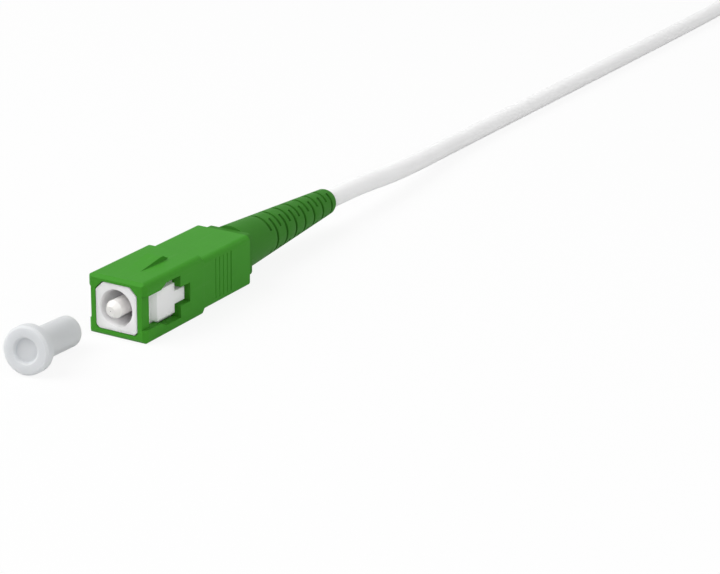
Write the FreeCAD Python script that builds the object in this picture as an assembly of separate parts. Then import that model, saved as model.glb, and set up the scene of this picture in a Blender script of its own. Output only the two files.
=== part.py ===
"""SC/APC fibre connector on a 3 mm simplex cable, with its dust cap taken off.

Millimetres.  The origin is the centre of the ferrule's end face, on the optical
axis.  +Y runs along that axis towards the cable, the front faces -Y, +Z is up
(the key side) and the side windows face +X and -X.  The connector lies on the
underside of its outer housing, and the cap, the cable and its hank lie on the
same surface.
"""
import FreeCAD, Part
import math
import os

V = FreeCAD.Vector
Y_AXIS = V(0, 1, 0)
os.makedirs("parts", exist_ok=True)

# ---------------------------------------------------------------- clearances
slide_gap = 0.10            # between the outer housing and what it slides on
seat_gap = 0.05             # between flat faces of bodies that only touch

# ------------------------------------------------------------------- ferrule
ferrule_diameter = 2.5
ferrule_length = 10.5
ferrule_cone_length = 0.85  # the tapered nose behind the polished face
ferrule_nose_diameter = 1.3
ferrule_seat_diameter = 2.1  # the end that is pressed into the flange
polish_angle = 8.0          # degrees, about the X axis
fibre_diameter = 0.125
ferrule_reach = 1.3         # how far the tip stands in front of the frame
ferrule_travel = 1.0        # how far it is pushed back when mated

flange_diameter = 4.4
flange_thickness = 1.9
flange_cover = 0.2          # from the ferrule's end to the rear of the flange's head
flange_neck_diameter = 3.1
flange_tail_diameter = 2.0
flange_tail_length = 3.6
flange_notch = 0.7

buffer_diameter = 0.9

# ---------------------------------------------------------------- plug frame
frame_side = 6.5
frame_length = 19.6
frame_top_chamfer = 1.15
frame_low_chamfer = 0.45
frame_mouth_diameter = 5.2
frame_bore_diameter = 4.9
mouth_depth = 0.7
web_thickness = 0.9         # the wall that the flange is pressed against
spring_room_diameter = 5.0

latch_reach = 0.92          # how far the latch blocks stand out of the sides
latch_half_height = 2.1
latch_ramp_start = 2.95     # measured from the front of the frame
latch_ramp_run = 0.45
latch_end = 7.4
tongue_half_height = 0.9
tongue_end = 9.7
snap_hole = (2.2, 1.5)      # width and length of the holes for the back post
snap_hole_from_rear = 4.1    # its front edge, ahead of the rear of the frame
snap_tab_gap = 0.15         # round each snap tab in its hole

# ------------------------------------------------------------- outer housing
housing_length = 25.25
front_width = 9.4
front_top = 4.14
front_low = 4.29
front_length = 13.4
rear_width = 9.3
rear_top = 3.57
rear_low = 3.72
step_run = 0.6
housing_travel = 1.0
top_round = 0.9
low_round = 0.5
front_edge_chamfer = 0.6
front_edge_ease = 0.45       # on the front top and bottom edges

key_width = 2.4
key_height = 0.62
key_start = 3.9
key_length = 6.4
key_front_ramp = 4.6          # a long slope up from the front
key_rear_ramp = 1.1

window_front = 1.55         # from the front of the housing
window_front_end = 3.6
window_mid_start = 4.8
window_mid_end = 8.1
window_end = 10.35
window_front_half = 2.35
window_mid_half = 3.0
window_rear_half = 1.35
front_bar_reach = 4.15      # outer face of the bar in front of a window
front_bar_slope = 0.15

grip_start = 16.65
grip_pitch = 0.95
grip_count = 5
grip_width = 0.42
grip_depth = 0.16
grip_last_depth = 0.32
grip_margin = 0.75

# ----------------------------------------------------------------- back post
post_barrel_diameter = 4.9
post_barrel_length = 4.2
post_shoulder_side = 5.9
post_shoulder_round = 0.6
post_shoulder_length = 1.3
post_tail_diameter = 3.8
post_tail_length = 6.6
post_bore_diameter = 2.5
post_groove_count = 2
post_groove_width = 0.5
post_groove_depth = 0.12

# -------------------------------------------------------------------- spring
spring_outer_diameter = 4.1
spring_wire = 0.45
spring_turns = 5.0
spring_wire_sides = 4

# ------------------------------------------------------- crimp, yarn, jacket
yarn_thickness = 0.22
crimp_wall = 0.35
crimp_lead = 0.4            # between the post's shoulder and the crimp
crimp_large_length = 7.0
crimp_small_length = 4.9
cable_diameter = 3.0
jacket_wall = 0.5
jacket_lap = 0.8            # jacket held inside the small end of the crimp

# ---------------------------------------------------------------------- boot
boot_shoulder_width = 7.4
boot_shoulder_height = 6.2
boot_shoulder_round = 0.7
boot_shoulder_out = 2.05    # how far it stands out of the outer housing
boot_post_gap = 0.9         # between the back post and the boot
boot_root_diameter = 7.2
boot_tip_diameter = 3.95
boot_end = 55.2
boot_tip_round = 0.75
slot_count = 7
slot_pitch = 2.8
slot_width = 0.5
slot_last_from_end = 1.9
slot_half_angle = 62.0
slot_core = 3.45            # across the flats of the core that the slots leave
slot_core_cut = 1.0

# ------------------------------------------------------------------ dust cap
cap_flange_diameter = 6.5
cap_flange_thickness = 1.9
cap_tube_diameter = 4.3
cap_tube_length = 9.2
cap_bore_gap = 0.03         # on radius, over the ferrule
cap_bore_depth = 8.0
cap_dimple_diameter = 3.6
cap_dimple_depth = 0.45
cap_centre_x = -2.1
cap_front_y = -15.33
cap_heading = -8.8          # degrees from +Y, about Z

# --------------------------------------------------------------------- cable
# The route of the free cable, chosen point by point: out of the boot on the
# optical axis, down to the surface, then along it to the hank.
floor = -front_low
lay = floor + cable_diameter / 2
boot_exit = V(0, boot_end, 0)
route = [
    boot_exit,
    V(0, 63.5, 0),
    V(0.01, 78.0, -1.30),
    V(-2.27, 102.0, lay),
    V(-1.85, 142.0, lay),
    V(-1.47, 181.0, lay),
    V(-1.37, 205.0, lay),
    V(-1.44, 222.0, lay),
    V(-4.30, 237.0, lay),
    V(-4.75, 250.5, lay),
]
# The rest of the cable is folded into a tied hank in line with the connector.
hank_across = 2             # turns side by side
hank_layers = 4
hank_fold_radius = 9.0      # of the inner turn's middle line
hank_straight = 23.0
hank_left = route[-1].x - cable_diameter / 2
tie_width = 6.0
tie_thickness = 0.3

# ------------------------------------------------------------ places along Y
frame_front = ferrule_reach
frame_rear = frame_front + frame_length
housing_front = frame_front
housing_rear = housing_front + housing_length
flange_shoulder = ferrule_length + flange_cover
flange_front = flange_shoulder - flange_thickness
web_rear = flange_front - seat_gap
web_front = web_rear - web_thickness
flange_rear = flange_shoulder + flange_tail_length
post_front = frame_rear - post_barrel_length
tail_front = frame_rear + post_shoulder_length
tail_rear = tail_front + post_tail_length
crimp_front = tail_front + crimp_lead
crimp_step = crimp_front + crimp_large_length
crimp_rear = crimp_step + crimp_small_length
jacket_front = crimp_step + jacket_lap
boot_front = tail_front + boot_post_gap
boot_shoulder_rear = housing_rear + boot_shoulder_out

yarn_outer_diameter = post_tail_diameter + 2 * yarn_thickness
crimp_outer_diameter = yarn_outer_diameter + 2 * crimp_wall
crimp_small_diameter = cable_diameter + 2 * crimp_wall
jacket_bore_diameter = cable_diameter - 2 * jacket_wall
cavity_side = frame_side + 2 * slide_gap
boot_bore_diameter = crimp_outer_diameter + 2 * seat_gap


# ------------------------------------------------------------------- helpers
def rod(diameter, start, end):
    """A round bar along Y."""
    return Part.makeCylinder(diameter / 2, end - start, V(0, start, 0), Y_AXIS)


def cone(start_diameter, end_diameter, start, end):
    """A taper along Y, or a plain bar where both ends are the same."""
    if abs(start_diameter - end_diameter) < 1e-6:
        return rod(start_diameter, start, end)
    return Part.makeCone(start_diameter / 2, end_diameter / 2, end - start, V(0, start, 0), Y_AXIS)


def revolve(profile):
    """A full turn about Y of a closed outline of (radius, y) points."""
    points = [V(radius, y, 0) for radius, y in profile]
    face = Part.Face(Part.makePolygon(points + points[:1]))
    return face.revolve(V(0, 0, 0), Y_AXIS, 360)


def outline_xz(points, y, radii=None):
    """A closed wire in a plane across the axis, with rounded corners where asked."""
    corners = [V(x, y, z) for x, z in points]
    if radii is None:
        return Part.makePolygon(corners + corners[:1])
    edges = []
    starts, ends = [], []
    count = len(corners)
    for index, corner in enumerate(corners):
        before = (corners[index - 1] - corner).normalize()
        after = (corners[(index + 1) % count] - corner).normalize()
        radius = radii[index]
        half_turn = math.acos(max(-1.0, min(1.0, before.dot(after)))) / 2
        reach = radius / math.tan(half_turn)
        starts.append(corner + before * reach)
        ends.append(corner + after * reach)
        if radius > 0:
            middle_way = (before + after).normalize()
            middle = corner + middle_way * (radius / math.sin(half_turn) - radius)
            edges.append((starts[-1], middle, ends[-1]))
        else:
            edges.append(None)
    wires = []
    for index in range(count):
        if edges[index]:
            start, middle, end = edges[index]
            wires.append(Part.Arc(start, middle, end).toShape())
        following = starts[(index + 1) % count]
        if (following - ends[index]).Length > 1e-6:
            wires.append(Part.LineSegment(ends[index], following).toShape())
    return Part.Wire(wires)


def prism(wire, length):
    """A straight bar along Y from an outline across it."""
    return Part.Face(wire).extrude(V(0, length, 0))


def side_prism(points, x_start, x_end):
    """A bar along X from a closed outline of (y, z) points."""
    corners = [V(x_start, y, z) for y, z in points]
    return Part.Face(Part.makePolygon(corners + corners[:1])).extrude(V(x_end - x_start, 0, 0))


def rectangle(half_width, low, top):
    """Corner points of an upright rectangle across the axis, from the lower left."""
    return [(-half_width, -low), (half_width, -low), (half_width, top), (-half_width, top)]


def chamfered_square(side, low_cut, top_cut):
    """The eight corners of a square across the axis whose corners are cut off."""
    half = side / 2
    return [
        (-half + low_cut, -half), (half - low_cut, -half), (half, -half + low_cut),
        (half, half - top_cut), (half - top_cut, half), (-half + top_cut, half),
        (-half, half - top_cut), (-half, -half + low_cut),
    ]


def mirrored(shape):
    """A shape and its image on the other side of the YZ plane, as one."""
    return shape.fuse(shape.mirror(V(0, 0, 0), V(1, 0, 0)))


# --------------------------------------------------------------- the ferrule
def make_ferrule():
    """Zirconia pin with a tapered nose, polished at an angle, and its fibre hole."""
    nose = cone(ferrule_nose_diameter, ferrule_diameter, 0, ferrule_cone_length)
    body = rod(ferrule_diameter, ferrule_cone_length, web_front)
    seat = rod(ferrule_seat_diameter, web_front, ferrule_length)
    tip = rod(ferrule_nose_diameter, -ferrule_nose_diameter, 0)
    pin = tip.fuse(nose).fuse(body).fuse(seat).removeSplitter()
    pin = pin.cut(polish_block())
    return pin.cut(rod(fibre_diameter, -1, ferrule_length + 1))


def polish_block():
    """What the angled polish takes off the end of the ferrule and its fibre."""
    size = 2 * ferrule_diameter
    block = Part.makeBox(size, size, size, V(-size / 2, -size, -size / 2))
    block.rotate(V(0, 0, 0), V(1, 0, 0), polish_angle)
    return block


def make_glass_fibre():
    """Bare glass from the polished end to where the buffer starts."""
    return rod(fibre_diameter, -1, ferrule_length).cut(polish_block())


def make_flange():
    """Metal holder that the ferrule is pressed into, with its keyed head and tail."""
    head = rod(flange_diameter, flange_front, flange_shoulder)
    neck = rod(flange_neck_diameter, web_front, flange_front)
    tail = rod(flange_tail_diameter, flange_shoulder, flange_rear)
    body = neck.fuse(head).fuse(tail).removeSplitter()
    reach = flange_diameter
    for turn in range(4):
        notch = Part.makeBox(
            flange_notch, flange_thickness, reach,
            V(-flange_notch / 2, flange_front, flange_diameter / 2 - flange_notch / 2))
        notch.rotate(V(0, 0, 0), Y_AXIS, 90 * turn)
        body = body.cut(notch)
    body = body.cut(rod(ferrule_seat_diameter, web_front - 1, ferrule_length))
    return body.cut(rod(buffer_diameter, ferrule_length - 1, flange_rear + 1))


def make_buffered_fibre():
    """The 0.9 mm buffered fibre from the ferrule through to the boot's end."""
    return rod(buffer_diameter, ferrule_length, boot_end - ferrule_travel - 0.5)


def make_spring():
    """Closed-end compression spring between the flange and the back post."""
    radius = (spring_outer_diameter - spring_wire) / 2
    start = flange_shoulder + seat_gap + spring_wire / 2
    end = post_front - seat_gap - spring_wire / 2
    pitch = (end - start) / spring_turns
    helix = Part.makeHelix(pitch, end - start, radius)
    corners = []
    for side in range(spring_wire_sides):
        angle = 2 * math.pi * side / spring_wire_sides
        corners.append(V(radius + spring_wire / 2 * math.cos(angle), 0, spring_wire / 2 * math.sin(angle)))
    section = Part.makePolygon(corners + corners[:1])
    coil = Part.Wire(helix).makePipeShell([section], True, True)
    coil.rotate(V(0, 0, 0), V(1, 0, 0), -90)
    coil.translate(V(0, start, 0))
    return coil


# ------------------------------------------------------------ the plug frame
def latch_block():
    """Ramped latch block and its tongue on the +X side of the frame."""
    side = frame_side / 2
    front = frame_front + latch_ramp_start
    profile = [
        V(side - 0.3, front, 0),
        V(side, front, 0),
        V(side + latch_reach, front + latch_ramp_run, 0),
        V(side + latch_reach, frame_front + latch_end, 0),
        V(side - 0.3, frame_front + latch_end, 0),
    ]
    face = Part.Face(Part.makePolygon(profile + profile[:1]))
    block = face.extrude(V(0, 0, 2 * latch_half_height))
    block.translate(V(0, 0, -latch_half_height))
    tongue = Part.makeBox(
        latch_reach + 0.3, tongue_end - latch_end + 0.5, 2 * tongue_half_height,
        V(side - 0.3, frame_front + latch_end - 0.5, -tongue_half_height))
    return block.fuse(tongue)


def make_plug_frame():
    """White moulded frame: round bore, web, spring room and latch blocks."""
    square = chamfered_square(frame_side, frame_low_chamfer, frame_top_chamfer)
    radii = [0.2, 0.2, 0.2, 0.35, 0.35, 0.35, 0.35, 0.2]
    body = prism(outline_xz(square, frame_front, radii), frame_length)
    body = body.fuse(mirrored(latch_block())).removeSplitter()
    mouth = cone(frame_mouth_diameter, frame_bore_diameter, frame_front, frame_front + mouth_depth)
    bore = rod(frame_bore_diameter, frame_front, web_front)
    hole = rod(flange_neck_diameter + 2 * slide_gap, web_front - 1, web_rear + 1)
    room = rod(spring_room_diameter, web_rear, frame_rear + 1)
    body = body.cut(mouth).cut(bore).cut(hole).cut(room)
    width, length = snap_hole
    slot = Part.makeBox(
        width, length, frame_side + 2, V(-width / 2, frame_rear - snap_hole_from_rear, -frame_side / 2 - 1))
    return body.cut(slot)


# --------------------------------------------------------- the outer housing
def housing_shell():
    """The two straight lengths of the housing and the slope between them."""
    radii = [low_round, low_round, top_round, top_round]
    front = outline_xz(rectangle(front_width / 2, front_low, front_top), housing_front, radii)
    front_end = housing_front + front_length
    rear_start = front_end + step_run
    near = outline_xz(rectangle(front_width / 2, front_low, front_top), front_end, radii)
    far = outline_xz(rectangle(rear_width / 2, rear_low, rear_top), rear_start, radii)
    body = prism(front, front_length)
    slope = Part.makeLoft([near, far], True, True)
    rear = prism(far, housing_rear - rear_start)
    return body.fuse(slope).fuse(rear).removeSplitter()


def window_tool():
    """The stepped window through the +X side, as a bar along X."""
    y = housing_front
    upper = [
        (y + window_front, window_front_half),
        (y + window_front_end, window_front_half),
        (y + window_mid_start, window_mid_half),
        (y + window_mid_end, window_mid_half),
        (y + window_mid_end, window_rear_half),
        (y + window_end, window_rear_half),
    ]
    lower = [(place, -height) for place, height in reversed(upper)]
    return side_prism(upper + lower, cavity_side / 2 - 0.2, front_width)


def front_bar_tool():
    """Relief on the bar in front of a window, which thins it towards the front."""
    y = housing_front
    lean = [
        V(front_bar_reach - front_bar_slope, y - 1, 0), V(front_bar_reach, y + window_front, 0),
        V(front_width, y + window_front, 0), V(front_width, y - 1, 0),
    ]
    face = Part.Face(Part.makePolygon(lean + lean[:1]))
    tool = face.extrude(V(0, 0, 2 * window_front_half))
    tool.translate(V(0, 0, -window_front_half))
    return tool


def key_block():
    """Ramped key along the middle of the top."""
    y = housing_front + key_start
    profile = [
        V(0, y, front_top - 0.5), V(0, y, front_top), V(0, y + key_front_ramp, front_top + key_height),
        V(0, y + key_length - key_rear_ramp, front_top + key_height), V(0, y + key_length, front_top),
        V(0, y + key_length, front_top - 0.5),
    ]
    face = Part.Face(Part.makePolygon(profile + profile[:1]))
    key = face.extrude(V(key_width, 0, 0))
    key.translate(V(-key_width / 2, 0, 0))
    return key


def grip_grooves():
    """Upright grooves across the +X side, the last one deeper."""
    grooves = []
    half = rear_width / 2
    for index in range(grip_count):
        y = housing_front + grip_start + index * grip_pitch
        depth = grip_last_depth if index == grip_count - 1 else grip_depth
        profile = [
            V(half + 0.2, y - grip_width / 2, 0), V(half - depth, y, 0), V(half + 0.2, y + grip_width / 2, 0)]
        face = Part.Face(Part.makePolygon(profile + profile[:1]))
        groove = face.extrude(V(0, 0, rear_top + rear_low - 2 * grip_margin))
        groove.translate(V(0, 0, grip_margin - rear_low))
        grooves.append(groove)
    return Part.makeCompound(grooves)


def front_chamfer_tools():
    """Cuts for the upright front corners and the front top and bottom edges."""
    y = housing_front
    cut = front_edge_chamfer
    side = front_width / 2
    corner = [V(side - cut, y, 0), V(side + 1, y, 0), V(side + 1, y + cut + 1, 0), V(side, y + cut, 0)]
    face = Part.Face(Part.makePolygon(corner + corner[:1]))
    upright = face.extrude(V(0, 0, 4 * front_top))
    upright.translate(V(0, 0, -2 * front_top))
    tools = mirrored(upright)
    small = front_edge_ease
    for level, way in ((front_top, 1), (-front_low, -1)):
        edge = [
            V(0, y, level - way * small), V(0, y, level + way), V(0, y + small + 1, level + way),
            V(0, y + small, level)]
        rim = Part.Face(Part.makePolygon(edge + edge[:1])).extrude(V(2 * front_width, 0, 0))
        rim.translate(V(-front_width, 0, 0))
        tools = tools.fuse(rim)
    return tools


def boot_room():
    """Square opening at the rear, in which the boot's shoulder slides."""
    half = boot_shoulder_width / 2 + slide_gap
    rise = boot_shoulder_height / 2 + slide_gap
    start = boot_front - housing_travel - slide_gap
    wire = outline_xz(rectangle(half, rise, rise), start, [boot_shoulder_round] * 4)
    return prism(wire, housing_rear + 1 - start)


def make_outer_housing():
    """Green housing that slides along the frame: key, windows and grip."""
    body = housing_shell().fuse(key_block()).removeSplitter()
    body = body.cut(front_chamfer_tools())
    cut = slide_gap * 0.6
    cavity = chamfered_square(cavity_side, frame_low_chamfer - cut, frame_top_chamfer - cut)
    opening = prism(outline_xz(cavity, housing_front - 1), housing_length + 2)
    body = body.cut(opening).cut(boot_room())
    body = body.cut(mirrored(window_tool())).cut(mirrored(front_bar_tool()))
    grooves = grip_grooves()
    body = body.cut(grooves).cut(grooves.mirror(V(0, 0, 0), V(1, 0, 0)))
    return body


# ------------------------------------------------- back post, crimp and yarn
def make_back_post():
    """Barrel that closes the spring room, snap tabs, shoulder and grooved tail."""
    barrel = rod(post_barrel_diameter, post_front, frame_rear)
    half = post_shoulder_side / 2
    shoulder = prism(
        outline_xz(rectangle(half, half, half), frame_rear, [post_shoulder_round] * 4), post_shoulder_length)
    tail = rod(post_tail_diameter, tail_front, tail_rear)
    body = barrel.fuse(shoulder).fuse(tail)
    width, length = snap_hole
    top = frame_side / 2 - snap_tab_gap
    start = frame_rear - snap_hole_from_rear + snap_tab_gap
    end = start + length - 2 * snap_tab_gap
    barrel_top = post_barrel_diameter / 2
    root = barrel_top - 2 * snap_tab_gap
    tab_width = width - 2 * snap_tab_gap
    profile = [V(0, start, root), V(0, start, barrel_top), V(0, end, top), V(0, end, root)]
    tab = Part.Face(Part.makePolygon(profile + profile[:1])).extrude(V(tab_width, 0, 0))
    tab.translate(V(-tab_width / 2, 0, 0))
    body = body.fuse(tab).fuse(tab.mirror(V(0, 0, 0), V(0, 0, 1))).removeSplitter()
    for index in range(post_groove_count):
        y = tail_front + (index + 1) * post_tail_length / (post_groove_count + 1)
        groove = rod(post_tail_diameter + 1, y, y + post_groove_width).cut(
            rod(post_tail_diameter - 2 * post_groove_depth, y - 1, y + 2))
        body = body.cut(groove)
    return body.cut(rod(post_bore_diameter, post_front - 1, tail_rear + 1))


def make_crimp_sleeve():
    """Stepped metal sleeve: the wide end grips the yarn, the narrow end the jacket."""
    large, small = crimp_outer_diameter / 2, crimp_small_diameter / 2
    inner_step = crimp_step - crimp_wall
    return revolve([
        (large - crimp_wall, crimp_front), (large, crimp_front), (large, crimp_step),
        (small, crimp_step), (small, crimp_rear), (small - crimp_wall, crimp_rear),
        (small - crimp_wall, inner_step), (large - crimp_wall, inner_step),
    ])


def make_aramid_yarn():
    """Yarn laid over the tail under the crimp, then gathered into the jacket."""
    core = (buffer_diameter + 0.3) / 2
    inside = jacket_bore_diameter / 2
    tail = post_tail_diameter / 2
    outer = yarn_outer_diameter / 2
    gather = crimp_step - crimp_wall
    return revolve([
        (tail, crimp_front), (outer, crimp_front), (outer, gather), (inside, gather),
        (inside, boot_end), (core, boot_end), (core, tail_rear), (tail, tail_rear),
    ])


def make_cable_jacket():
    """The jacket from the crimp to the end of the boot."""
    return rod(cable_diameter, jacket_front, boot_end).cut(
        rod(jacket_bore_diameter, jacket_front - 1, boot_end + 1))


# ------------------------------------------------------------------ the boot
def slot_tool(y, angle):
    """A slot across the boot, centred on an angle about the axis."""
    reach = boot_root_diameter
    spread = math.radians(slot_half_angle)
    far = reach * math.tan(spread / 2)
    fan = [
        V(0, y, 0), V(reach * math.cos(spread), y, reach * math.sin(spread)),
        V(reach, y, far), V(reach, y, -far),
        V(reach * math.cos(spread), y, -reach * math.sin(spread)),
    ]
    tool = Part.Face(Part.makePolygon(fan + fan[:1])).extrude(V(0, slot_width, 0))
    tool.translate(V(0, -slot_width / 2, 0))
    core = chamfered_square(slot_core, slot_core_cut, slot_core_cut)
    tool = tool.cut(prism(outline_xz(core, y - 1), 2))
    tool.rotate(V(0, 0, 0), Y_AXIS, angle)
    return tool


def make_boot():
    """Green strain relief: square shoulder in the housing and a slotted cone."""
    half = boot_shoulder_width / 2
    rise = boot_shoulder_height / 2
    square = outline_xz(rectangle(half, rise, rise), boot_front, [boot_shoulder_round] * 4)
    shoulder = prism(square, boot_shoulder_rear - boot_front)
    round_start = boot_end - boot_tip_round
    taper = (boot_root_diameter - boot_tip_diameter) / (boot_end - boot_shoulder_rear)
    at_round = boot_tip_diameter + taper * boot_tip_round
    body = shoulder.fuse(cone(boot_root_diameter, at_round, boot_shoulder_rear, round_start))
    rim = cable_diameter / 2 + 0.12
    tip = at_round / 2
    nose = Part.Wire([
        Part.LineSegment(V(0, round_start, 0), V(tip, round_start, 0)).toShape(),
        Part.Arc(V(tip, round_start, 0), V(tip - 0.12, round_start + 0.45 * boot_tip_round, 0),
                 V(rim, boot_end, 0)).toShape(),
        Part.LineSegment(V(rim, boot_end, 0), V(0, boot_end, 0)).toShape(),
        Part.LineSegment(V(0, boot_end, 0), V(0, round_start, 0)).toShape(),
    ])
    body = body.fuse(Part.Face(nose).revolve(V(0, 0, 0), Y_AXIS, 360)).removeSplitter()
    body = body.cut(rod(boot_bore_diameter, boot_front - 1, crimp_step + seat_gap))
    body = body.cut(rod(crimp_small_diameter + 2 * seat_gap, crimp_step, crimp_rear + seat_gap))
    body = body.cut(rod(cable_diameter, crimp_rear, boot_end + 1))
    tools = []
    for index in range(slot_count):
        y = boot_end - slot_last_from_end - index * slot_pitch
        tools.append(slot_tool(y, 0))
        tools.append(slot_tool(y, 180))
        tools.append(slot_tool(y - slot_pitch / 2, 90))
        tools.append(slot_tool(y - slot_pitch / 2, 270))
    return body.cut(Part.makeCompound(tools))


# -------------------------------------------------------------- the dust cap
def place_cap(shape):
    """Lay a shape made along +Y from the origin down as the cap lies."""
    drop = math.degrees(math.asin(
        (cap_flange_diameter - cap_tube_diameter) / 2 / cap_tube_length))
    lean = math.radians(drop)
    rim = cap_flange_diameter / 2 * math.cos(lean) + cap_flange_thickness * math.sin(lean)
    shape.rotate(V(0, 0, 0), V(1, 0, 0), -drop)
    shape.rotate(V(0, 0, 0), V(0, 0, 1), -cap_heading)
    shape.translate(V(cap_centre_x, cap_front_y, floor + rim))
    return shape


def make_dust_cap():
    """Soft cap: a knob with a dimple, and a tube that fits over the ferrule."""
    tube_start = cap_flange_thickness
    end = tube_start + cap_tube_length
    knob = cap_flange_diameter / 2
    tube = cap_tube_diameter / 2
    bore = ferrule_diameter / 2 + cap_bore_gap
    ease = 0.3
    cap = revolve([
        (0, cap_dimple_depth), (cap_dimple_diameter / 2 - ease, cap_dimple_depth),
        (cap_dimple_diameter / 2, 0), (knob - ease, 0), (knob, ease), (knob, tube_start - ease),
        (knob - ease, tube_start), (tube, tube_start), (tube, end), (bore, end),
        (bore, end - cap_bore_depth), (0, end - cap_bore_depth),
    ])
    return place_cap(cap)


# ----------------------------------------------------------------- the cable
def rounded_route(points):
    """Straight runs joined by tangent arcs, each as large as its two runs allow."""
    edges = []
    here = points[0]
    for index in range(1, len(points) - 1):
        corner = points[index]
        before = corner - points[index - 1]
        after = points[index + 1] - corner
        run = min(before.Length, after.Length)
        turn = before.getAngle(after)
        radius = 0.45 * run / math.tan(turn / 2)
        reach = 0.45 * run
        arc_start = corner - before.normalize() * reach
        arc_end = corner + after.normalize() * reach
        to_middle = (arc_start + arc_end) * 0.5 - corner
        middle = corner + to_middle.normalize() * (radius / math.cos(turn / 2) - radius)
        edges.append(Part.LineSegment(here, arc_start).toShape())
        edges.append(Part.Arc(arc_start, middle, arc_end).toShape())
        here = arc_end
        print(f"cable arc {index}: radius {radius:.0f} mm, turn {math.degrees(turn):.1f} degrees")
    edges.append(Part.LineSegment(here, points[-1]).toShape())
    return Part.Wire(edges)


def make_cable_lead(hank):
    """The free cable from the boot to the hank."""
    path = rounded_route(route)
    start = (route[1] - route[0]).normalize()
    section = Part.Wire(Part.makeCircle(cable_diameter / 2, route[0], start))
    tube = path.makePipeShell([section], True, False)
    want = math.pi * cable_diameter ** 2 / 4 * path.Length
    print(f"cable lead: length {path.Length:.1f} mm, volume {tube.Volume:.1f} of {want:.1f}")
    return tube.cut(hank)


def stadium(half_width, middle, height):
    """A block on the surface with two straight sides and two round ends."""
    near = Part.makeCylinder(half_width, height, middle)
    far = Part.makeCylinder(half_width, height, middle + V(0, hank_straight, 0))
    between = Part.makeBox(2 * half_width, hank_straight, height, middle - V(half_width, 0, 0))
    return near.fuse([far, between]).removeSplitter()


def make_hank_and_tie():
    """The put-away length as one folded block, and the strap round its waist."""
    inner = hank_fold_radius - cable_diameter / 2
    outer = inner + hank_across * cable_diameter
    height = hank_layers * cable_diameter
    middle = V(hank_left + outer, route[-1].y, floor)
    block = stadium(outer, middle, height).cut(stadium(inner, middle, height))
    low, high = floor, floor + height + 2 * tie_thickness
    left, right = hank_left, hank_left + 2 * outer
    strap_start = middle.y + (hank_straight - tie_width) / 2
    outside = outline_xz(
        [(left - tie_thickness, low), (right + tie_thickness, low),
         (right + tie_thickness, high), (left - tie_thickness, high)],
        strap_start, [4 * tie_thickness] * 4)
    inside = outline_xz(
        [(left, low + tie_thickness), (right, low + tie_thickness),
         (right, high - tie_thickness), (left, high - tie_thickness)],
        strap_start, [3 * tie_thickness] * 4)
    strap = prism(outside, tie_width).cut(prism(inside, tie_width))
    return block.cut(strap), strap


# --------------------------------------------------------------------- build
cable_hank, hank_tie = make_hank_and_tie()
nodes = {
    "outer_housing": make_outer_housing(),
    "plug_frame": make_plug_frame(),
    "ferrule": make_ferrule(),
    "ferrule_flange": make_flange(),
    "glass_fibre": make_glass_fibre(),
    "buffered_fibre": make_buffered_fibre(),
    "ferrule_spring": make_spring(),
    "back_post": make_back_post(),
    "aramid_yarn": make_aramid_yarn(),
    "crimp_sleeve": make_crimp_sleeve(),
    "cable_jacket": make_cable_jacket(),
    "strain_relief_boot": make_boot(),
    "dust_cap": make_dust_cap(),
    "cable_lead": make_cable_lead(cable_hank),
    "cable_hank": cable_hank,
    "hank_tie": hank_tie,
}
for name, shape in nodes.items():
    print(f"{name}: {len(shape.Solids)} solid, {shape.Volume:.2f} mm3, valid {shape.isValid()}")
    shape.exportStep(f"parts/{name}.step")
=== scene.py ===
# %% [markdown]
# # A fibre connector, dressed in Blender
# The solids of this connector come from a CAD model.  This script adds what CAD
# leaves out: the camera and the light, the cable as a flexible thing, the wound
# spring, soft edges, and a finish for each material.

# %% Load the solids
import math

import bmesh
import bpy
from mathutils import Matrix, Vector


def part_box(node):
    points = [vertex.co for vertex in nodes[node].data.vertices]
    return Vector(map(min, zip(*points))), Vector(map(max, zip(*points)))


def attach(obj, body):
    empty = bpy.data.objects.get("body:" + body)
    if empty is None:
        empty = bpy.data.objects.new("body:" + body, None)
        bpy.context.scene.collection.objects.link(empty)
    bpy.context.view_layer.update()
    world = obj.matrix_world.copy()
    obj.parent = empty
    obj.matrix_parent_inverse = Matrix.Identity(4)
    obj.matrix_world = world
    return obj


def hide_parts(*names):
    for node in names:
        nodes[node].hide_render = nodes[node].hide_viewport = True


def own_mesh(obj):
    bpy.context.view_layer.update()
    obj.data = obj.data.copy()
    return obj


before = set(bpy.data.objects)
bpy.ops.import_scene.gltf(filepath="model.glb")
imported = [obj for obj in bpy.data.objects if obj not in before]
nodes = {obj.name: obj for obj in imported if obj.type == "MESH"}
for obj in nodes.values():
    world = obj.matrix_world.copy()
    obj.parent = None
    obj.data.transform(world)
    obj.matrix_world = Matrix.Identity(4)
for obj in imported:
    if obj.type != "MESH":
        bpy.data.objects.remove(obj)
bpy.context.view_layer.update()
MM = 0.001

# %% [markdown]
# ## Camera
# A small object looks right through a long lens from a short distance, because
# the far end of the cable then shrinks as the eye expects.  The camera is placed
# by its target, its two angles and its distance, and turned a little about its
# own axis.

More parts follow.
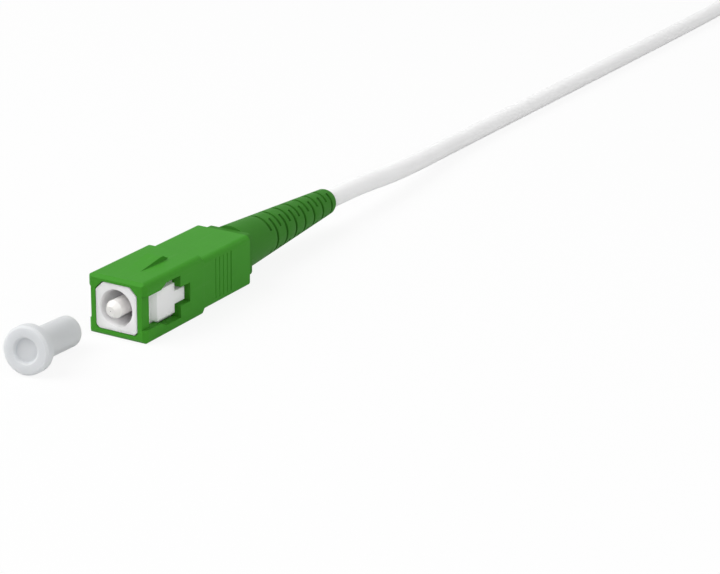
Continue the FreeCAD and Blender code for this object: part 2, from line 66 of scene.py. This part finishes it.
# %% Camera
camera_target = Vector((11.485, 45.625, -8.621)) * MM
camera_distance = 328.89 * MM
camera_azimuth, camera_elevation, camera_roll = (math.radians(a) for a in (29.72, 20.27, 0.87))
camera_data = bpy.data.cameras.new("camera")
camera_data.lens, camera_data.sensor_width = 112.46, 36.0
camera_data.clip_start, camera_data.clip_end = 0.01, 20.0
camera = bpy.data.objects.new("camera", camera_data)
bpy.context.scene.collection.objects.link(camera)
level = math.cos(camera_elevation)
back = Vector((math.sin(camera_azimuth) * level, -math.cos(camera_azimuth) * level,
               math.sin(camera_elevation)))
camera.location = camera_target + back * camera_distance
facing = (-back).to_track_quat("-Z", "Y").to_matrix().to_4x4()
camera.rotation_euler = (facing @ Matrix.Rotation(camera_roll, 4, "Z")).to_euler()
bpy.context.scene.camera = camera
bpy.context.scene.view_settings.view_transform = "Standard"
print("camera at", [round(x / MM, 1) for x in camera.location], "mm")

# %% [markdown]
# ## Cable
# The cable is one soft line: out of the boot, down to the table and away.  A NURBS
# curve needs only the few points that bend it, in millimetres here.  The table is
# as high as the underside of the housing, and the cable's middle lies half its
# diameter above it.

# %% Cable route
cable_diameter = 3.0
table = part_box("outer_housing")[0].z / MM
lay = table + cable_diameter / 2
route = [
    (0, 55.2, 0), (0, 63.5, 0), (0.01, 78.0, -1.30), (-2.27, 102.0, lay), (-1.85, 142.0, lay),
    (-1.47, 181.0, lay), (-1.37, 205.0, lay), (-1.44, 222.0, lay), (-4.30, 237.0, lay),
]
print("route:", len(route), "points, table at z", round(table, 2), "mm, cable at", round(lay, 2))

# %% [markdown]
# ## Hank
# What is left of the cable's metre is folded into a slim hank in line with the
# connector, two turns side by side and four on each other.  Its points come from
# a loop, because every turn is the same long oval.  Each keeps to its own column,
# and near its end it moves over to the other column or climbs a layer, by turns.

# %% Hank
hank_start = Vector((-4.75, 250.5, lay))
straight = 23.0
outer_radius = 12.0
turns = 7.2
change_span = 0.1
strap_lift, strap_reach = 0.4, 7.0
run_points, fold_points = 4, 8


def changes_done(wound, index):
    """How far the change between turn `index` and the next has come, 0 to 1."""
    change_start = (index + 1) * (1 - change_span)
    return min(1.0, max(0.0, (wound - change_start) / change_span))


def round_the_hank(part, radius):
    """A point of one turn: up the left run, round the far fold, back, round the near one."""
    if part < 0.25:
        return -radius, straight * part * 4
    angle = math.pi * (part % 0.25) * 4
    if part < 0.5:
        return -radius * math.cos(angle), straight + radius * math.sin(angle)
    if part < 0.75:
        return radius, straight * (1 - (part - 0.5) * 4)
    return radius * math.cos(angle), -radius * math.sin(angle)


turn_parts = [quarter / 4 + step / 4 / count
              for quarter, count in enumerate([run_points, fold_points] * 2)
              for step in range(count)]
# A curve cuts inside its points on a fold, so they stand this much further out there.
fold_stretch = 1 / math.cos(math.pi / fold_points / 2)
hank = []
for turn in range(math.ceil(turns)):
    for part in turn_parts:
        wound = turn + part
        if wound > turns:
            break
        done = [changes_done(wound, index) for index in range(int(turns))]
        radius = outer_radius - cable_diameter * (sum(done[0::4]) - sum(done[2::4]))
        layer = sum(done[1::2])
        on_fold = part > 0.75 or 0.25 < part < 0.5
        x, y = round_the_hank(part, radius * fold_stretch if on_fold else radius)
        lift = strap_lift * math.exp(-((y - straight / 2) / strap_reach) ** 2)
        hank.append((hank_start.x + outer_radius + x, hank_start.y + y,
                     hank_start.z + layer * cable_diameter + lift))
print("hank:", len(hank), "points,", turns, "turns")

# %% [markdown]
# ## A round cable from a curve
# A curve object with a bevel is a tube, which stays smooth at any zoom and keeps
# its own line, so its length can be measured.  It is drawn a hair thinner than the
# real cable, so that turns that lie on each other don't run into each other.

# %% The cable as one soft line
drawn_share = 0.985
steps_per_point, roundness = 6, 6


def soft_line(name, points, diameter):
    """A round cable along a NURBS curve with these control points, in mm."""
    data = bpy.data.curves.new(name, "CURVE")
    data.dimensions = "3D"
    spline = data.splines.new("NURBS")
    spline.points.add(len(points) - 1)
    for control, point in zip(spline.points, points):
        control.co = (*(x * MM for x in point), 1.0)
        control.radius = MM
    spline.order_u = 3
    spline.use_endpoint_u = True
    spline.use_smooth = True
    data.resolution_u = steps_per_point
    data.bevel_depth = diameter / 2
    data.bevel_resolution = roundness
    data.use_fill_caps = True
    made = bpy.data.objects.new(name, data)
    bpy.context.scene.collection.objects.link(made)
    return made


cable = soft_line("cable", route + hank, cable_diameter * drawn_share)
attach(cable, "frame_body")
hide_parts("cable_lead", "cable_hank")
controls = [Vector(point) for point in route + hank]
control_length = sum((after - before).length for before, after in zip(controls, controls[1:]))
print("cable control line", round(control_length), "mm over", len(controls), "points")

# %% [markdown]
# ## Table and lamps
# White plastic on a white ground shows only if the light is uneven.  One large
# soft lamp stands in front, above and a little to the left, so the roof and the
# mouth of the plug are bright and the right side is half a step darker.  A weak
# lamp keeps the right side from going flat.

# %% Table and lamps
table_reach, table_gap = 3.0, 0.02 * MM
lamp_aim, lamp_size = Vector((0, 0.03, 0)), 0.7
table_corners = [(x * table_reach, y * table_reach, 0)
                 for x, y in ((-1, -1), (1, -1), (1, 1), (-1, 1))]
floor_data = bpy.data.meshes.new("table_top")
floor_data.from_pydata(table_corners, [], [(0, 1, 2, 3)])
table_top = bpy.data.objects.new("table_top", floor_data)
table_top.location.z = table * MM - table_gap
bpy.context.scene.collection.objects.link(table_top)


def soft_lamp(name, place, power):
    """A square lamp that faces the connector."""
    data = bpy.data.lights.new(name, "AREA")
    data.energy, data.size = power, lamp_size
    lamp = bpy.data.objects.new(name, data)
    lamp.location = Vector(place)
    lamp.rotation_euler = (lamp_aim - lamp.location).to_track_quat("-Z", "Y").to_euler()
    bpy.context.scene.collection.objects.link(lamp)


soft_lamp("key_lamp", (-0.47, -0.42, 0.74), 7.7)
soft_lamp("fill_lamp", (0.7, -0.1, 0.5), 1.8)
print("table and", len(bpy.data.lights), "lamps, aimed at", tuple(lamp_aim))

# %% [markdown]
# ## Writing finishes as sums
# A finish is a small program.  Wrapping a node's output in a class lets Python's
# own operators add the Math nodes, so a finish reads as a formula.  Colours are
# never added that way: they go through Mix nodes.

# %% A value with operators
class Value:
    """One output of a shader node, on which + - * and / add Math nodes."""

    def __init__(self, finish, socket):
        self.finish, self.socket = finish, socket

    def maths(self, operation, first, second=0.0, clamp=False):
        settings = {"operation": operation, "use_clamp": clamp}
        return self.finish.node("ShaderNodeMath", settings, {0: first, 1: second})

    def __add__(self, other):
        return self.maths("ADD", self, other)

    __radd__ = __add__

    def __sub__(self, other):
        return self.maths("SUBTRACT", self, other)

    def __rsub__(self, other):
        return self.maths("SUBTRACT", other, self)

    def __mul__(self, other):
        return self.maths("MULTIPLY", self, other)

    def __truediv__(self, other):
        return self.maths("DIVIDE", self, other)

    def or_more(self, other):
        """The larger of the two."""
        return self.maths("MAXIMUM", self, other)

    def limited(self):
        """Kept between 0 and 1."""
        return self.maths("ADD", self, 0.0, True)

    def wave(self, length):
        """A wave from 0 to 1 that repeats every `length` of this value."""
        return self.maths("SINE", self * (2 * math.pi / length)) * 0.5 + 0.5


print("a value can also do:", ", ".join(name for name in vars(Value) if name[0] != "_"))

# %% [markdown]
# ## A material as one object
# One method makes every other node: it takes the node's type, its settings, and
# the values or links of its sockets.  The sizes of textures are in millimetres,
# because a noise's own scale, which is one over its size in metres, says little.

# %% A material as one object
class Finish:
    """A material, or the world, whose nodes all come from one method."""

    def __init__(self, name, owner=None):
        self.material = owner or bpy.data.materials.new(name)
        self.material.use_nodes = True
        self.tree = self.material.node_tree
        self.tree.nodes.clear()
        self.place = self.node("ShaderNodeTexCoord", output="Object")

    def node(self, kind, settings=None, inputs=None, output=0):
        made = self.tree.nodes.new(kind)
        for name, value in (settings or {}).items():
            setattr(made, name, value)
        for name, value in (inputs or {}).items():
            if isinstance(value, Value):
                self.tree.links.new(value.socket, made.inputs[name])
            else:
                made.inputs[name].default_value = value
        return Value(self, made.outputs[output]) if len(made.outputs) else None

    def along(self, axis):
        """How far along X, Y or Z the surface is, in millimetres."""
        return self.node("ShaderNodeSeparateXYZ", None, {"Vector": self.place}, axis) / MM

    def noise(self, size, detail=2.0, stretch=(1, 1, 1)):
        """Soft noise from 0 to 1 whose lumps are this many millimetres across."""
        place = self.node(
            "ShaderNodeVectorMath", {"operation": "MULTIPLY"}, {0: self.place, 1: stretch})
        inputs = {"Vector": place, "Scale": 1 / (size * MM), "Detail": detail}
        return self.node("ShaderNodeTexNoise", None, inputs)

    def blend(self, factor, first, second):
        """From the first colour at 0 to the second at 1."""
        inputs = {0: factor, 6: first, 7: second}
        return self.node("ShaderNodeMix", {"data_type": "RGBA"}, inputs, 2)

    def bump(self, height, depth):
        """A surface raised by up to this many millimetres where height is 1."""
        return self.node("ShaderNodeBump", None, {"Height": height, "Distance": depth * MM})

    def surface(self, inputs):
        """Ends the material in a Principled shader with these inputs."""
        shader = self.node("ShaderNodeBsdfPrincipled", None, inputs)
        self.node("ShaderNodeOutputMaterial", None, {"Surface": shader})
        return self.material


print("a finish can do:", ", ".join(name for name in vars(Finish) if name[0] != "_"))

# %% [markdown]
# ## Colours
# Colours are written as a screen shows them, since that is how they are judged.  A
# shader adds up light, so it wants them in linear units.

# %% Colours
def screen(red, green, blue):
    """A colour as a screen shows it, from 0 to 255, in the shader's linear units."""
    linear = [((c / 255 + 0.055) / 1.055) ** 2.4 if c > 10 else c / 255 / 12.92
              for c in (red, green, blue)]
    return (*linear, 1.0)


print("a grey of 128 on the screen is", round(screen(128, 128, 128)[0], 3), "in linear units")

# %% [markdown]
# ## Table and sky
# The table and the sky are white where the camera, a reflection or a see-through
# piece looks, but light the connector less than such a white would.  So the ground
# stays white while the plastics keep their tones.  A share of the table's own
# shading stays in its white, as a faint shadow under the connector.

# %% Table and sky
def seen_rays(finish):
    """1 where the camera, a reflection or a see-through piece looks, else 0."""
    camera_ray, glossy, through = (
        finish.node("ShaderNodeLightPath", output=name)
        for name in ("Is Camera Ray", "Is Glossy Ray", "Is Transmission Ray"))
    return camera_ray.or_more(glossy).or_more(through)


white, table_grey = (1, 1, 1, 1), (0.8, 0.8, 0.8, 1)
table_glow, shadow_share, sky_light = 1.01, 0.12, 0.43
table_finish = Finish("table_finish")
shaded = table_finish.node("ShaderNodeBsdfDiffuse", None, {"Color": table_grey})
glow = table_finish.node("ShaderNodeEmission", None, {"Color": white, "Strength": table_glow})
glow_share = seen_rays(table_finish) * (1 - shadow_share)
mixed = table_finish.node("ShaderNodeMixShader", None, {0: glow_share, 1: shaded, 2: glow})
table_finish.node("ShaderNodeOutputMaterial", None, {"Surface": mixed})
floor_data.materials.append(table_finish.material)

sky = bpy.data.worlds.new("sky")
bpy.context.scene.world = sky
sky_finish = Finish("sky", sky)
strength = seen_rays(sky_finish) * (1 - sky_light) + sky_light
sky_back = sky_finish.node("ShaderNodeBackground", None, {"Color": white, "Strength": strength})
sky_finish.node("ShaderNodeOutputWorld", None, {"Surface": sky_back})
print("the sky lights at", sky_light, "and shows as white")

# %% [markdown]
# ## Moulded plastics
# The housing, the frame, the boot and the cap all come out of moulds, so one
# recipe does for them.  Melt flows leave faint clouds of a deeper tone, the mould's
# skin gives a fine orange peel, and the gloss is a little uneven.  The tone is
# also a little deeper in the dips of the peel, which is painted shade.  Where pieces
# are pushed in and out of adapters, pale rubs run along the plug: noise drawn out
# along that axis gives them without a painted picture.

# %% Plastic recipe
cloud_size, peel_size, grain_size, rub_width = 6.0, 0.35, 0.08, 0.5
peel_gloss, grain_gloss = 0.14, 0.08


def moulded(name, colour, deep, roughness, peel=0.004, gloss=0.3, rubs=0.0, **constants):
    """Moulded plastic; `rubs` is how far rubs pale it, `constants` are plain sockets."""
    finish = Finish(name)
    clouds = finish.noise(cloud_size, 3.0)
    fine = finish.noise(peel_size, 3.0)
    grain = finish.noise(grain_size)
    # The clouds are a random deeper tone; the peel's share darkens the peel's dips, which is
    # painted shade.
    tone = finish.blend((clouds * 0.9 + fine * 0.3).limited(), deep, colour)
    dullness = roughness + (fine - 0.5) * peel_gloss + (grain - 0.5) * grain_gloss
    if rubs:
        streaks = finish.noise(rub_width, 4.0, (1, 0.05, 1))
        rubbed = ((streaks - 0.6) * 5).limited() * rubs
        tone = finish.blend(rubbed, tone, tuple(0.5 + 0.5 * part for part in colour))
        dullness = dullness - rubbed
    return finish.surface({
        "Base Color": tone, "Roughness": dullness,
        "Normal": finish.bump(fine * 0.6 + grain * 0.4, peel),
        "IOR": 1.5, "Specular IOR Level": gloss, **constants,
    })


print("orange peel of", peel_size, "mm, grain of", grain_size, "mm")

# %% [markdown]
# ## Hard plastics
# The housing is filled with pigment, so light stays on its surface, and it takes a
# low gloss.  The white frame is less filled: some light gets in below its skin and
# comes out beside where it went in, and subsurface scattering is made for that.
# The post sits inside, and a plain off-white does.

# %% Hard plastics
def waxy(weight, depth, tint=(1.0, 1.0, 1.0)):
    """Sockets for light that travels this many millimetres below the skin."""
    return {"Subsurface Weight": weight, "Subsurface Radius": tint, "Subsurface Scale": depth * MM}


green_housing = moulded(
    "green_housing", screen(66, 147, 42), screen(58, 135, 36), 0.55, gloss=0.08, rubs=0.03)
white_plastic = moulded(
    "white_plastic", screen(252, 250, 252), screen(247, 244, 248), 0.42, rubs=0.05,
    **waxy(0.6, 2.0, (1.0, 0.95, 1.0)))
post_plastic = moulded(
    "post_plastic", screen(238, 236, 232), screen(224, 222, 218), 0.5, peel=0.008)
print("hard plastics:", green_housing.name, white_plastic.name, post_plastic.name)

# %% [markdown]
# ## Soft plastics
# The boot is an elastomer: duller, with a slightly stronger grain.  The cap is
# thin clouded polythene: light enters its wall and comes out a millimetre or two
# further on, which subsurface scattering shows with little noise.  A small share
# of true transmission softens the dimple, and more of it would speckle a piece
# this small.  The cable's jacket is slightly waxy in the same way.

# %% Soft plastics
green_boot = moulded(
    "green_boot", screen(59, 127, 40), screen(50, 113, 33), 0.62, peel=0.008, gloss=0.1)
cap_plastic = moulded(
    "cap_plastic", screen(226, 228, 230), screen(219, 221, 223), 0.5, peel=0.006, gloss=0.15,
    **waxy(1.0, 1.5), **{"Transmission Weight": 0.15})
cable_skin = moulded(
    "cable_skin", screen(245, 245, 245), screen(239, 239, 239), 0.5, gloss=0.2, **waxy(1.0, 1.5))
buffer_plastic = moulded(
    "buffer_plastic", screen(238, 232, 204), screen(228, 220, 190), 0.4, peel=0.003)
cable.data.materials.append(cable_skin)
print("soft plastics:", green_boot.name, cap_plastic.name, cable_skin.name, buffer_plastic.name)

# %% [markdown]
# ## Ceramic and glass
# The ferrule is ground zirconia: almost white, slightly warm, with a gloss that
# only very fine grinding marks break.  They run round it, so a wave along the
# axis makes them.  The fibre in it is clear glass no thicker than a hair, and is
# seen as a speck in the end face.

# %% Ceramic and glass
grinding_pitch, grinding_depth = 0.06, 0.0004


def ground_ceramic():
    """Polished zirconia with fine grinding rings."""
    finish = Finish("ground_ceramic")
    rings = finish.along("Y").wave(grinding_pitch)
    clouds = finish.noise(1.5)
    return finish.surface({
        "Base Color": finish.blend(clouds, screen(240, 237, 234), screen(245, 243, 240)),
        "Roughness": 0.2 + rings * 0.05 + (clouds - 0.5) * 0.04,
        "Normal": finish.bump(rings * 0.5 + finish.noise(0.03) * 0.5, grinding_depth),
        "IOR": 2.15, "Specular IOR Level": 0.3,
    })


def clear_glass():
    """Silica fibre: clear, with a trace of uneven polish."""
    finish = Finish("clear_glass")
    polish = finish.noise(0.02)
    return finish.surface({
        "Base Color": finish.blend(polish, screen(226, 238, 244), screen(240, 248, 250)),
        "Roughness": 0.02 + polish * 0.03, "IOR": 1.46, "Transmission Weight": 0.8,
    })


ceramic, glass = ground_ceramic(), clear_glass()
print("ceramic:", ceramic.name, "glass:", glass.name)

# %% [markdown]
# ## Metals
# Three metal pieces hide in the plug, and each is made in its own way.  The
# flange is turned, so its tool left rings along the axis; the sleeve is stamped
# and plated, so it is smooth with a soft cloudiness; the spring's wire is drawn
# through a die, which leaves long lines.  One recipe takes the marks as a
# function of the finish.

# %% Metals
def tool_rings(finish):
    return finish.along("Y").wave(0.1)


def plating_clouds(finish):
    return finish.noise(0.4, 4.0, (1, 0.2, 1))


def drawing_lines(finish):
    return finish.noise(0.05, 3.0, (0.3, 3, 0.3))


def metal(name, colour, dark, roughness, marks, depth):
    """Bare metal with these tool marks, this many millimetres deep."""
    finish = Finish(name)
    height = marks(finish)
    tarnish = finish.noise(1.2, 3.0)
    return finish.surface({
        "Base Color": finish.blend(tarnish, dark, colour), "Metallic": 1.0,
        "Roughness": roughness + (height - 0.5) * 0.12 + (tarnish - 0.5) * 0.1,
        "Normal": finish.bump(height, depth),
    })


turned = metal(
    "turned_nickel", screen(214, 208, 194), screen(186, 178, 160), 0.28, tool_rings, 0.002)
plated = metal(
    "plated_sleeve", screen(206, 203, 196), screen(178, 174, 166), 0.32, plating_clouds, 0.003)
drawn = metal(
    "drawn_wire", screen(204, 204, 206), screen(168, 168, 172), 0.3, drawing_lines, 0.002)
print("metals:", turned.name, plated.name, drawn.name)

# %% [markdown]
# ## Yarn and woven strap
# The strength yarn is a sheaf of straight golden threads: noise stretched fifty
# times along the axis splits the surface into threads, and darkens the grooves
# between them as painted shade.  The strap is a woven band, and two waves at right
# angles, multiplied, are the plainest weave there is.  One runs across the band,
# the other along it, over the top and down the sides alike because it counts X and
# Z together.  Where the weave dips, its colour is darkened as painted shade.

# %% Yarn and strap
strap_thread = 0.35


def strands():
    """A sheaf of golden threads along the plug, with painted shade between them."""
    finish = Finish("golden_yarn")
    threads = finish.noise(0.12, 4.0, (1, 0.02, 1))
    return finish.surface({
        # The threads' colour is darker where the bump is low: painted shade between the threads.
        "Base Color": finish.blend(threads, screen(190, 150, 52), screen(244, 218, 122)),
        "Roughness": 0.45 + threads * 0.2, "Normal": finish.bump(threads, 0.03),
        "Sheen Weight": 0.3,
    })


def woven(name, thread, colour, painted_shade):
    """A plain weave whose threads are this wide, in millimetres, darkened where it dips as painted
    shade.
    """
    finish = Finish(name)
    across = finish.along("Y").wave(2 * thread)
    running = (finish.along("X") + finish.along("Z")).wave(2 * thread)
    weave = across * running + (1 - across) * (1 - running)
    fuzz = finish.noise(0.06, 3.0)
    return finish.surface({
        # The colour goes dark where the weave dips: painted shade in its hollows.
        "Base Color": finish.blend(weave * 0.7 + fuzz * 0.3, painted_shade, colour),
        "Roughness": 0.8 + (fuzz - 0.5) * 0.2, "Normal": finish.bump(weave + fuzz * 0.5, 0.08),
        "Sheen Weight": 0.4,
    })


yarn = strands()
strap_weave = woven("strap_weave", strap_thread, screen(52, 53, 56), screen(24, 24, 26))
print("yarn:", yarn.name, "strap:", strap_weave.name)

# %% [markdown]
# ## Dressing the solids
# The solids keep their shape.  Each gets its seams welded, and normals weighted by
# face so that the flat faces stay flat; the round cap looks better with normals
# weighted by the corners' angles.  Edges are rounded as a mould or a tool leaves
# them, by a few hundredths of a millimetre on most pieces and a few tenths on the
# housing and the cap.  The fibres, the yarn and the jacket are cut, so they
# aren't rounded.

# %% Dress the solids
weld_reach, sharp_angle = 1e-7, math.radians(28)


def dress(name, finish, edge=0.08, segments=3, weights="FACE_AREA"):
    """Weld, round and finish one solid; `edge` is the rounding in millimetres."""
    piece = nodes[name]
    piece.modifiers.new("weld", "WELD").merge_threshold = weld_reach
    if edge:
        bevel = piece.modifiers.new("edges", "BEVEL")
        bevel.width, bevel.segments = edge * MM, segments
        bevel.limit_method, bevel.angle_limit = "ANGLE", sharp_angle
    piece.modifiers.new("normals", "WEIGHTED_NORMAL").mode = weights
    piece.data.materials.clear()
    piece.data.materials.append(finish)
    print("dressed", name, "with", finish.name)


dress("outer_housing", green_housing, 0.2, 4)
dress("strain_relief_boot", green_boot, 0.06)
dress("plug_frame", white_plastic, 0.07)
dress("ferrule", ceramic, 0.03)
dress("ferrule_flange", turned, 0.05)
dress("glass_fibre", glass, 0)
dress("buffered_fibre", buffer_plastic, 0)
dress("back_post", post_plastic, 0.06)
dress("aramid_yarn", yarn, 0)
dress("crimp_sleeve", plated, 0.05)
dress("cable_jacket", cable_skin, 0)
dress("dust_cap", cap_plastic, 0.35, 4, "CORNER_ANGLE")

# %% [markdown]
# ## Tubes in mesh code
# The spring's wire and the threads at the cable's end are round tubes along a
# line.  A ring of points is carried along it, and each ring takes its direction
# from the ring before, so that the tube doesn't twist.

# %% A round tube along points
def placed(name, mesh_in_progress):
    """Turns a bmesh into a smooth object that rides on the frame."""
    bmesh.ops.recalc_face_normals(mesh_in_progress, faces=mesh_in_progress.faces)
    for face in mesh_in_progress.faces:
        face.smooth = len(face.verts) == 4
    data = bpy.data.meshes.new(name)
    mesh_in_progress.to_mesh(data)
    mesh_in_progress.free()
    made = bpy.data.objects.new(name, data)
    bpy.context.scene.collection.objects.link(made)
    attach(made, "frame_body")
    return made


def add_tube(target, line, radius, sides):
    """Adds a closed round tube along points in metres to a bmesh."""
    across = (line[1] - line[0]).orthogonal()
    angles = [2 * math.pi * side / sides for side in range(sides)]
    rings = []
    for index, point in enumerate(line):
        ahead = (line[min(index + 1, len(line) - 1)] - line[max(index - 1, 0)]).normalized()
        across = (across - ahead * across.dot(ahead)).normalized()
        up = ahead.cross(across)
        rings.append([target.verts.new(point + (across * math.cos(a) + up * math.sin(a)) * radius)
                      for a in angles])
    for first, second in zip(rings, rings[1:]):
        for side in range(sides):
            after = (side + 1) % sides
            target.faces.new((first[side], first[after], second[after], second[side]))
    target.faces.new(rings[0][::-1])
    target.faces.new(rings[-1])


print("helpers for mesh pieces:", placed.__name__, "and", add_tube.__name__)

# %% [markdown]
# ## Spring
# The coil spring behind the ferrule is the one piece that changes its shape: when
# the ferrule is pushed in, the spring gets shorter.  A wire is a circle carried
# along a helix.  The first and last turns lie against their neighbours, so that
# the spring stands square, and only the turns between them open up.

# %% Coil spring
wire, wire_sides = 0.45 * MM, 12
spring_turns, steps_per_turn = 6, 40
spring_low, spring_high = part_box("ferrule_spring")
coil_radius = (spring_high.x - spring_low.x - wire) / 2
spring_length = spring_high.y - spring_low.y
closed_pitch = wire * 1.03
open_pitch = (spring_length - wire - 2 * closed_pitch) / (spring_turns - 2)
helix = []
for step in range(spring_turns * steps_per_turn + 1):
    turned_by = step / steps_per_turn
    closed = min(turned_by, 1) + max(turned_by - (spring_turns - 1), 0)
    y = spring_low.y + wire / 2 + closed * closed_pitch + (turned_by - closed) * open_pitch
    angle = 2 * math.pi * turned_by
    helix.append(Vector((coil_radius * math.cos(angle), y, coil_radius * math.sin(angle))))
coil = bmesh.new()
add_tube(coil, helix, wire / 2, wire_sides)
spring = placed("coil_spring", coil)
spring.data.materials.append(drawn)
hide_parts("ferrule_spring")
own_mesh(spring)
print("spring: open pitch", round(open_pitch / MM, 2), "mm, faces", len(spring.data.polygons))

# %% [markdown]
# ## Strap round the hank
# The put-away cable is held by a woven strap.  It is a band that goes once round
# the hank and then lies over itself, with a rounded end.  Its line across the
# band is a rectangle with round corners; the tail uses the same line one
# thickness further out.  Between the two runs of cable the top sags a little.

# %% Strap line
strap_low, strap_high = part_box("hank_tie")
strap_thickness, strap_corner = 0.3 * MM, 1.2 * MM
corner_steps, top_steps = 6, 36
strap_middle = (strap_low + strap_high) / 2
half_x = (strap_high.x - strap_low.x - strap_thickness) / 2
half_z = (strap_high.z - strap_low.z - strap_thickness) / 2
flat_half = half_x - strap_corner


def strap_line():
    """Points and outward directions round the hank, from the lower right corner."""
    line = []
    for quarter, (way_x, way_z) in enumerate(((1, -1), (1, 1), (-1, 1), (-1, -1))):
        centre = Vector((way_x * flat_half, 0, way_z * (half_z - strap_corner)))
        for step in range(corner_steps + 1):
            angle = math.pi / 2 * (quarter - 1 + step / corner_steps)
            out = Vector((math.cos(angle), 0, math.sin(angle)))
            line.append((centre + out * strap_corner, out))
        if way_x == 1 and way_z == 1:
            line += [(Vector((flat_half * (1 - 2 * step / top_steps), 0, half_z)),
                      Vector((0, 0, 1))) for step in range(1, top_steps)]
    return line


round_hank = strap_line()
print("strap line:", len(round_hank), "points round the hank")

# %% [markdown]
# ## Strap as a band
# The band is a strip of faces along that line, and a Solidify modifier gives it
# its thickness.  It is a hair thinner than the gap between its two layers, so that
# they don't run into each other.  Narrower rows of points round the tail's end.

# %% Hank strap
width_steps, narrowest, woven_share = 6, 0.15, 0.95
strap_sag, tail_from, tail_end = 0.5 * MM, 4, -2.0 * MM
strap_width = strap_high.y - strap_low.y


def add_band(target, line, lift, tail):
    """Adds a strip along the line, `lift` further out: a loop, or a tail with a round end."""
    rows = []
    for point, out in line:
        from_end = (point - line[-1][0]).length / (strap_width / 2)
        share = math.sqrt(1 - (1 - from_end) ** 2) if tail and from_end < 1 else 1
        sag = strap_sag * max(0.0, 1 - (point.x / flat_half) ** 2) if out.z > 0.99 else 0
        place = strap_middle + point + out * lift - Vector((0, 0, sag))
        width = strap_width * max(share, narrowest)
        rows.append([
            target.verts.new(place + Vector((0, (step / width_steps - 0.5) * width, 0)))
            for step in range(width_steps + 1)])
    for first, second in zip(rows, rows[1:] if tail else rows[1:] + rows[:1]):
        for step in range(width_steps):
            target.faces.new((first[step], first[step + 1], second[step + 1], second[step]))


tail_line = [(point, out) for point, out in round_hank[tail_from:]
             if out.z > -0.5 and point.x > tail_end]
band = bmesh.new()
add_band(band, round_hank, 0, False)
add_band(band, tail_line, strap_thickness, True)
strap = placed("hank_strap", band)
thickness = strap.modifiers.new("thickness", "SOLIDIFY")
thickness.thickness, thickness.offset = strap_thickness * woven_share, 0
soft = strap.modifiers.new("soft_edges", "BEVEL")
soft.width, soft.segments, soft.limit_method = 0.06 * MM, 2, "ANGLE"
strap.data.materials.append(strap_weave)
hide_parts("hank_tie")
print("strap:", len(strap.data.polygons), "faces, tail of", len(tail_line), "points")

# %% [markdown]
# ## Cut end of the cable
# A pigtail ends bare, for a splice.  The cut shows the cable's make-up: threads
# of yarn between the jacket and the buffered fibre, which stands out a little.
# The end's place and direction are read from the cable's own line, so they are
# right however the hank is wound.

# %% Where the cable ends
bare_line = cable.data.copy()
bare_line.bevel_depth = 0
holder = bpy.data.objects.new("bare_line", bare_line)
cable_points = [point.co.copy() for point in bpy.data.meshes.new_from_object(holder).vertices]
bpy.data.objects.remove(holder)
end = cable_points[-1]
end_way = (end - cable_points[-2]).normalized()
end_side = end_way.orthogonal().normalized()
end_up = end_way.cross(end_side)
print("cable end at", [round(x / MM, 1) for x in end], "mm, line points", len(cable_points))

# %% [markdown]
# ## Threads and stub
# Scissors leave yarn uneven.  Sines of a thread's number change its length and its
# bend, which looks random and is the same in every run.  All threads and the stub
# start a little inside the jacket, so that no gap shows.

# %% Cut end
thread_count, thread_radius, thread_sides, ring_radius = 22, 0.09 * MM, 6, 0.95 * MM
stub_radius, stub_sides, stub_reach, stub_tip = 0.45 * MM, 16, 2.5 * MM, 0.3 * MM
root = end - end_way * 0.5 * MM
threads = bmesh.new()
for index in range(thread_count):
    angle = 2 * math.pi * index / thread_count
    out = end_side * math.cos(angle) + end_up * math.sin(angle)
    reach = (1.3 + 0.5 * math.sin(5 * index)) * MM
    offset = out * ring_radius * (0.85 + 0.15 * math.cos(3 * index))
    bend = out * 0.25 * MM * (1 + math.sin(7 * index))
    add_tube(threads, [root + offset, end + end_way * reach * 0.4 + offset,
                       end + end_way * reach + offset + bend], thread_radius, thread_sides)
cut_yarn = placed("cut_yarn", threads)
cut_yarn.data.materials.append(yarn)
stub = bmesh.new()
add_tube(stub, [root, end + end_way * (stub_reach - stub_tip), end + end_way * stub_reach],
         stub_radius, stub_sides)
cut_buffer = placed("cut_buffer", stub)
cut_buffer.data.materials.append(buffer_plastic)
print("cut end:", thread_count, "threads round a stub of", round(stub_reach / MM, 1), "mm")

# %% [markdown]
# ## Closing the scene
# Last, the view layer is brought up to date, so that every piece stands where it
# was put.

# %% Close the scene
bpy.context.view_layer.update()
